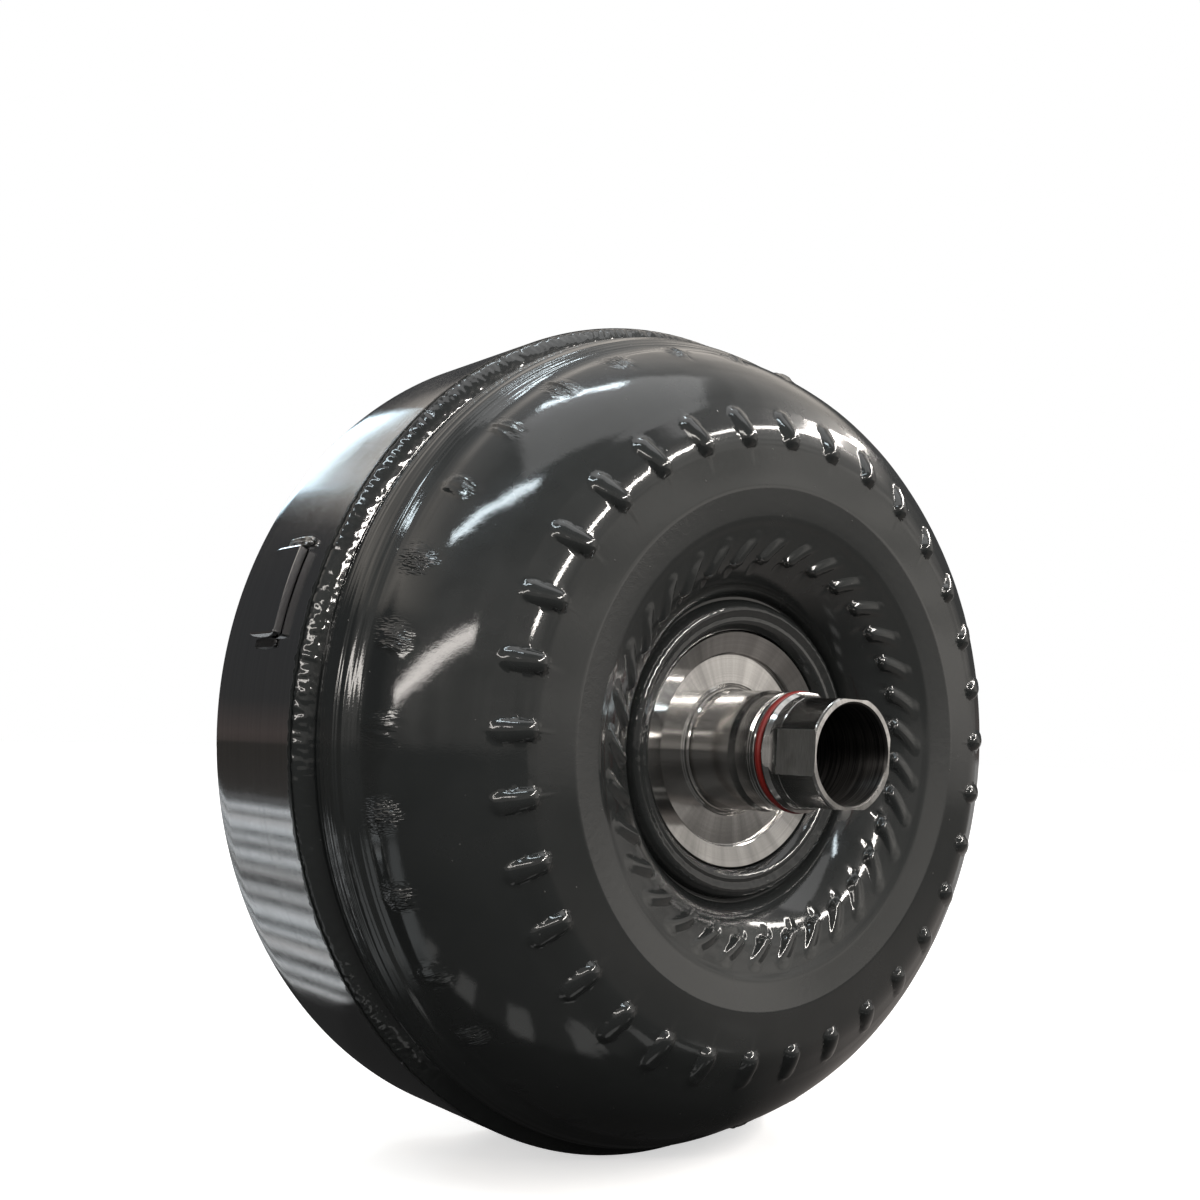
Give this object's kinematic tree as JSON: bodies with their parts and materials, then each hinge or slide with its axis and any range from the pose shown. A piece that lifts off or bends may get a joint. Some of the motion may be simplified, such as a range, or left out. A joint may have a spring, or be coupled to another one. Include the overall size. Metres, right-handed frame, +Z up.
{
  "type": "torque converter",
  "caption": "Lock-up torque converter for an automatic gearbox, with a painted impeller shell, a bare steel front cover and a grooved hub that drives the pump.",
  "frame": {"origin": "centre of the crank pilot's end face", "axes": "+Y along the shaft axis towards the engine, so the impeller hub points to -Y; +Z up when the converter stands on its rim"},
  "size_m": [0.3104, 0.1667, 0.31],
  "materials": {
    "bare_steel": "turned, bright",
    "dark_gloss_paint": "dark grey gloss paint",
    "ground_steel": "fine turned and ground",
    "sheet_steel": "pressed sheet, dull",
    "spring_steel": "oil-tempered",
    "cast_aluminium": "as cast, machined faces",
    "friction_paper": "bonded paper facing, matte",
    "red_rubber": "deep red, satin",
    "black_rubber": "black, satin"
  },
  "bodies": {
    "housing": {"front_cover": "bare_steel", "crank_pilot": "bare_steel", "closing_weld": "dark_gloss_paint", "balance_weight": "bare_steel", "impeller_shell": "dark_gloss_paint", "hub_weld_ring": "dark_gloss_paint", "impeller_hub": "ground_steel", "hub_o_ring": "red_rubber", "impeller_blades": "sheet_steel", "piston_guide_hub": "ground_steel", "piston_inner_seal": "black_rubber", "clutch_drum": "bare_steel", "clutch_backing_plate": "bare_steel", "clutch_snap_ring": "spring_steel", "front_thrust_race": "ground_steel"},
    "piston": {"lockup_piston": "ground_steel", "piston_outer_seal": "black_rubber"},
    "steel_plate": {"steel_plate": "sheet_steel"},
    "turbine": {"turbine_hub": "ground_steel", "turbine_shell": "sheet_steel", "turbine_blades": "sheet_steel", "turbine_hub_seal": "black_rubber", "damper_driven_plate": "sheet_steel", "middle_thrust_race": "ground_steel"},
    "damper": {"clutch_hub": "sheet_steel", "damper_drive_plate": "sheet_steel", "damper_retainer_plate": "sheet_steel", "damper_spring_1": "spring_steel", "damper_spring_2": "spring_steel", "damper_spring_3": "spring_steel", "damper_spring_4": "spring_steel", "damper_spring_5": "spring_steel", "damper_spring_6": "spring_steel"},
    "friction_disc_1": {"friction_disc_1": "friction_paper"},
    "friction_disc_2": {"friction_disc_2": "friction_paper"},
    "stator": {"stator_wheel": "cast_aluminium", "stator_front_cap": "cast_aluminium", "stator_rear_cap": "cast_aluminium", "stator_snap_ring": "spring_steel", "one_way_outer_race": "ground_steel", "roller_spring_cage": "spring_steel", "rear_thrust_race": "ground_steel", "one_way_roller_1": "ground_steel", "one_way_roller_2": "ground_steel", "one_way_roller_3": "ground_steel", "one_way_roller_4": "ground_steel", "one_way_roller_5": "ground_steel", "one_way_roller_6": "ground_steel", "one_way_roller_7": "ground_steel", "one_way_roller_8": "ground_steel"},
    "stator_race": {"one_way_inner_race": "ground_steel"},
    "front_needles": {"front_thrust_cage": "ground_steel"},
    "middle_needles": {"middle_thrust_cage": "ground_steel"},
    "rear_needles": {"rear_thrust_cage": "ground_steel"}
  },
  "joints": [
    {"name": "turbine_spin", "type": "hinge", "parent": "housing", "child": "turbine", "pos_m": [0, -0.05, 0], "axis": [0, 1, 0], "continuous": true},
    {"name": "stator_spin", "type": "hinge", "parent": "housing", "child": "stator", "pos_m": [0, -0.087, 0], "axis": [0, 1, 0], "continuous": true},
    {"name": "stator_race_spin", "type": "hinge", "parent": "housing", "child": "stator_race", "pos_m": [0, -0.087, 0], "axis": [0, 1, 0], "continuous": true},
    {"name": "damper_twist", "type": "hinge", "parent": "turbine", "child": "damper", "pos_m": [0, -0.041, 0], "axis": [0, 1, 0], "range_deg": [-5, 5], "stiffness_Nm_per_rad": 900, "deforming": ["damper_spring_1", "damper_spring_2", "damper_spring_3", "damper_spring_4", "damper_spring_5", "damper_spring_6"]},
    {"name": "piston_slide", "type": "slide", "parent": "housing", "child": "piston", "axis": [0, -1, 0], "range_m": [0, 0.0018]},
    {"name": "friction_disc_1_slide", "type": "slide", "parent": "damper", "child": "friction_disc_1", "axis": [0, -1, 0], "range_m": [0, 0.0018]},
    {"name": "steel_plate_slide", "type": "slide", "parent": "housing", "child": "steel_plate", "axis": [0, -1, 0], "range_m": [0, 0.0018]},
    {"name": "friction_disc_2_slide", "type": "slide", "parent": "damper", "child": "friction_disc_2", "axis": [0, -1, 0], "range_m": [0, 0.0018]},
    {"name": "front_needles_spin", "type": "hinge", "parent": "housing", "child": "front_needles", "pos_m": [0, -0.033, 0], "axis": [0, 1, 0], "continuous": true},
    {"name": "middle_needles_spin", "type": "hinge", "parent": "housing", "child": "middle_needles", "pos_m": [0, -0.073, 0], "axis": [0, 1, 0], "continuous": true},
    {"name": "rear_needles_spin", "type": "hinge", "parent": "housing", "child": "rear_needles", "pos_m": [0, -0.102, 0], "axis": [0, 1, 0], "continuous": true}
  ],
  "couplings": [
    {"joint": "friction_disc_1_slide", "follows": "piston_slide", "ratio": 0.75},
    {"joint": "steel_plate_slide", "follows": "piston_slide", "ratio": 0.5},
    {"joint": "friction_disc_2_slide", "follows": "piston_slide", "ratio": 0.25},
    {"joint": "front_needles_spin", "follows": "turbine_spin", "ratio": 0.5},
    {"joint": "middle_needles_spin", "follows": "turbine_spin", "ratio": 0.5},
    {"joint": "rear_needles_spin", "follows": "stator_spin", "ratio": 0.5}
  ]
}
